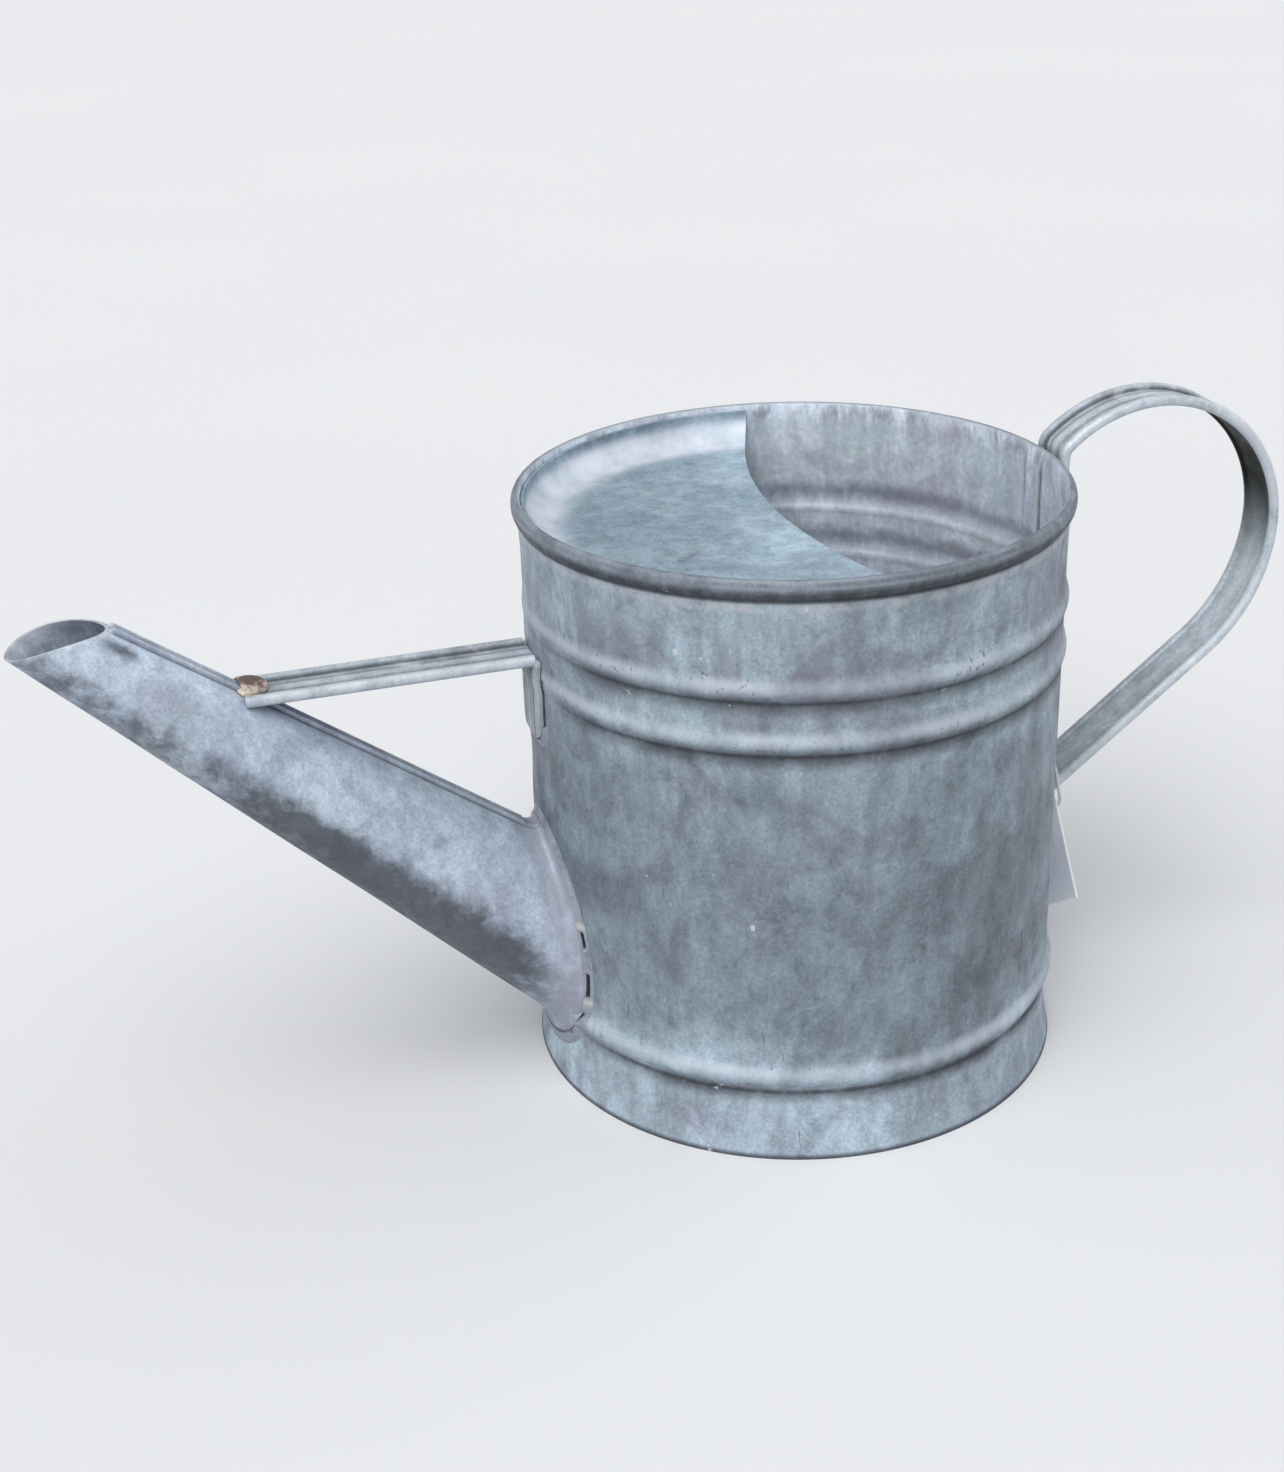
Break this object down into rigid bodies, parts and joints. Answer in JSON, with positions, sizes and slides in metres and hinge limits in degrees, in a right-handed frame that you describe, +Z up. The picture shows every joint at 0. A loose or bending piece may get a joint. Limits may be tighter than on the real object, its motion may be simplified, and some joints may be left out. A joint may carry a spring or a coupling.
{
  "type": "watering can",
  "caption": "Small round galvanised watering can with a beaded wall, a half-covered mouth, a tapered spout held by a stay, and a looped strap handle.",
  "frame": {"origin": "on the can's vertical axis, on the plane that it stands on", "axes": "+Z up, -X towards the spout, +X towards the handle, +Y to the left of someone who looks from the spout to the handle"},
  "size_m": [0.3357, 0.1432, 0.1701],
  "materials": {
    "wall_zinc": "weathered galvanised zinc, mottled blue grey with purple brown stains, matt",
    "base_zinc": "weathered galvanised zinc, dull, scuffed where it stands",
    "hood_zinc": "weathered galvanised zinc, smooth, pale blue grey",
    "spout_zinc": "weathered galvanised zinc, pale on top and stained dark below",
    "strap_zinc": "weathered galvanised zinc strap, lengthwise streaks",
    "solder": "dull, whitish, oxidised solder",
    "rusted_solder": "solder blob stained brown by rust",
    "tag_paper": "plain uncoated card, blank",
    "tie_plastic": "thin translucent white tie"
  },
  "bodies": {
    "root": {"body_wall": "wall_zinc", "base_plate": "base_zinc", "hood": "hood_zinc", "hood_solder": "solder", "spout": "spout_zinc", "spout_solder": "solder", "brace": "strap_zinc", "brace_foot_solder": "solder", "brace_tip_solder": "rusted_solder", "handle": "strap_zinc", "handle_top_solder": "solder", "handle_foot_solder": "solder", "paper_tag": "tag_paper", "tag_tie": "tie_plastic"}
  },
  "joints": []
}
